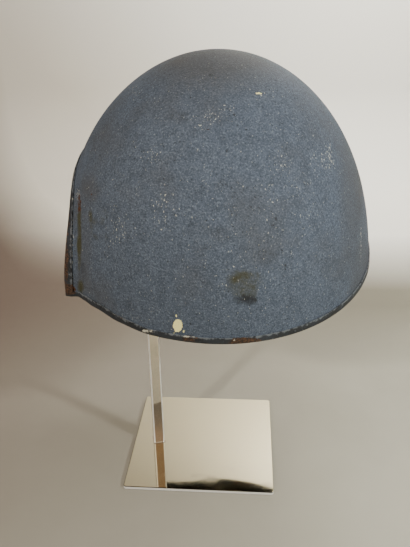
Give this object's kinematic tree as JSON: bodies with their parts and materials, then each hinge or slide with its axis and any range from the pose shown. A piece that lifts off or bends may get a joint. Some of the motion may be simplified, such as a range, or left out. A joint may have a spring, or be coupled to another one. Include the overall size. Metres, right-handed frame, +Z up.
{
  "type": "steel helmet on display stand",
  "caption": "Hollow deep-bowl steel helmet with a high face opening, an outturned lip and a folded rim band, hung on a cranked square bar over a square polished base plate.",
  "frame": {"origin": "centre of the base plate's underside", "axes": "+Z up; X and Y along the sides of the square base plate; the face opening points towards -X"},
  "size_m": [0.3156, 0.3109, 0.4336],
  "materials": {
    "helmet_paint": "matt blue-grey paint with a fine cork texture, worn and chipped, rusty inside",
    "rim_paint": "dark blue-grey paint, worn through to rust in places",
    "polished_steel": "mirror polished, with faint smudges"
  },
  "bodies": {
    "root": {"helmet_shell": "helmet_paint", "rim_band": "rim_paint", "stand_base": "polished_steel", "stand_upright": "polished_steel", "stand_head": "polished_steel"}
  },
  "joints": []
}
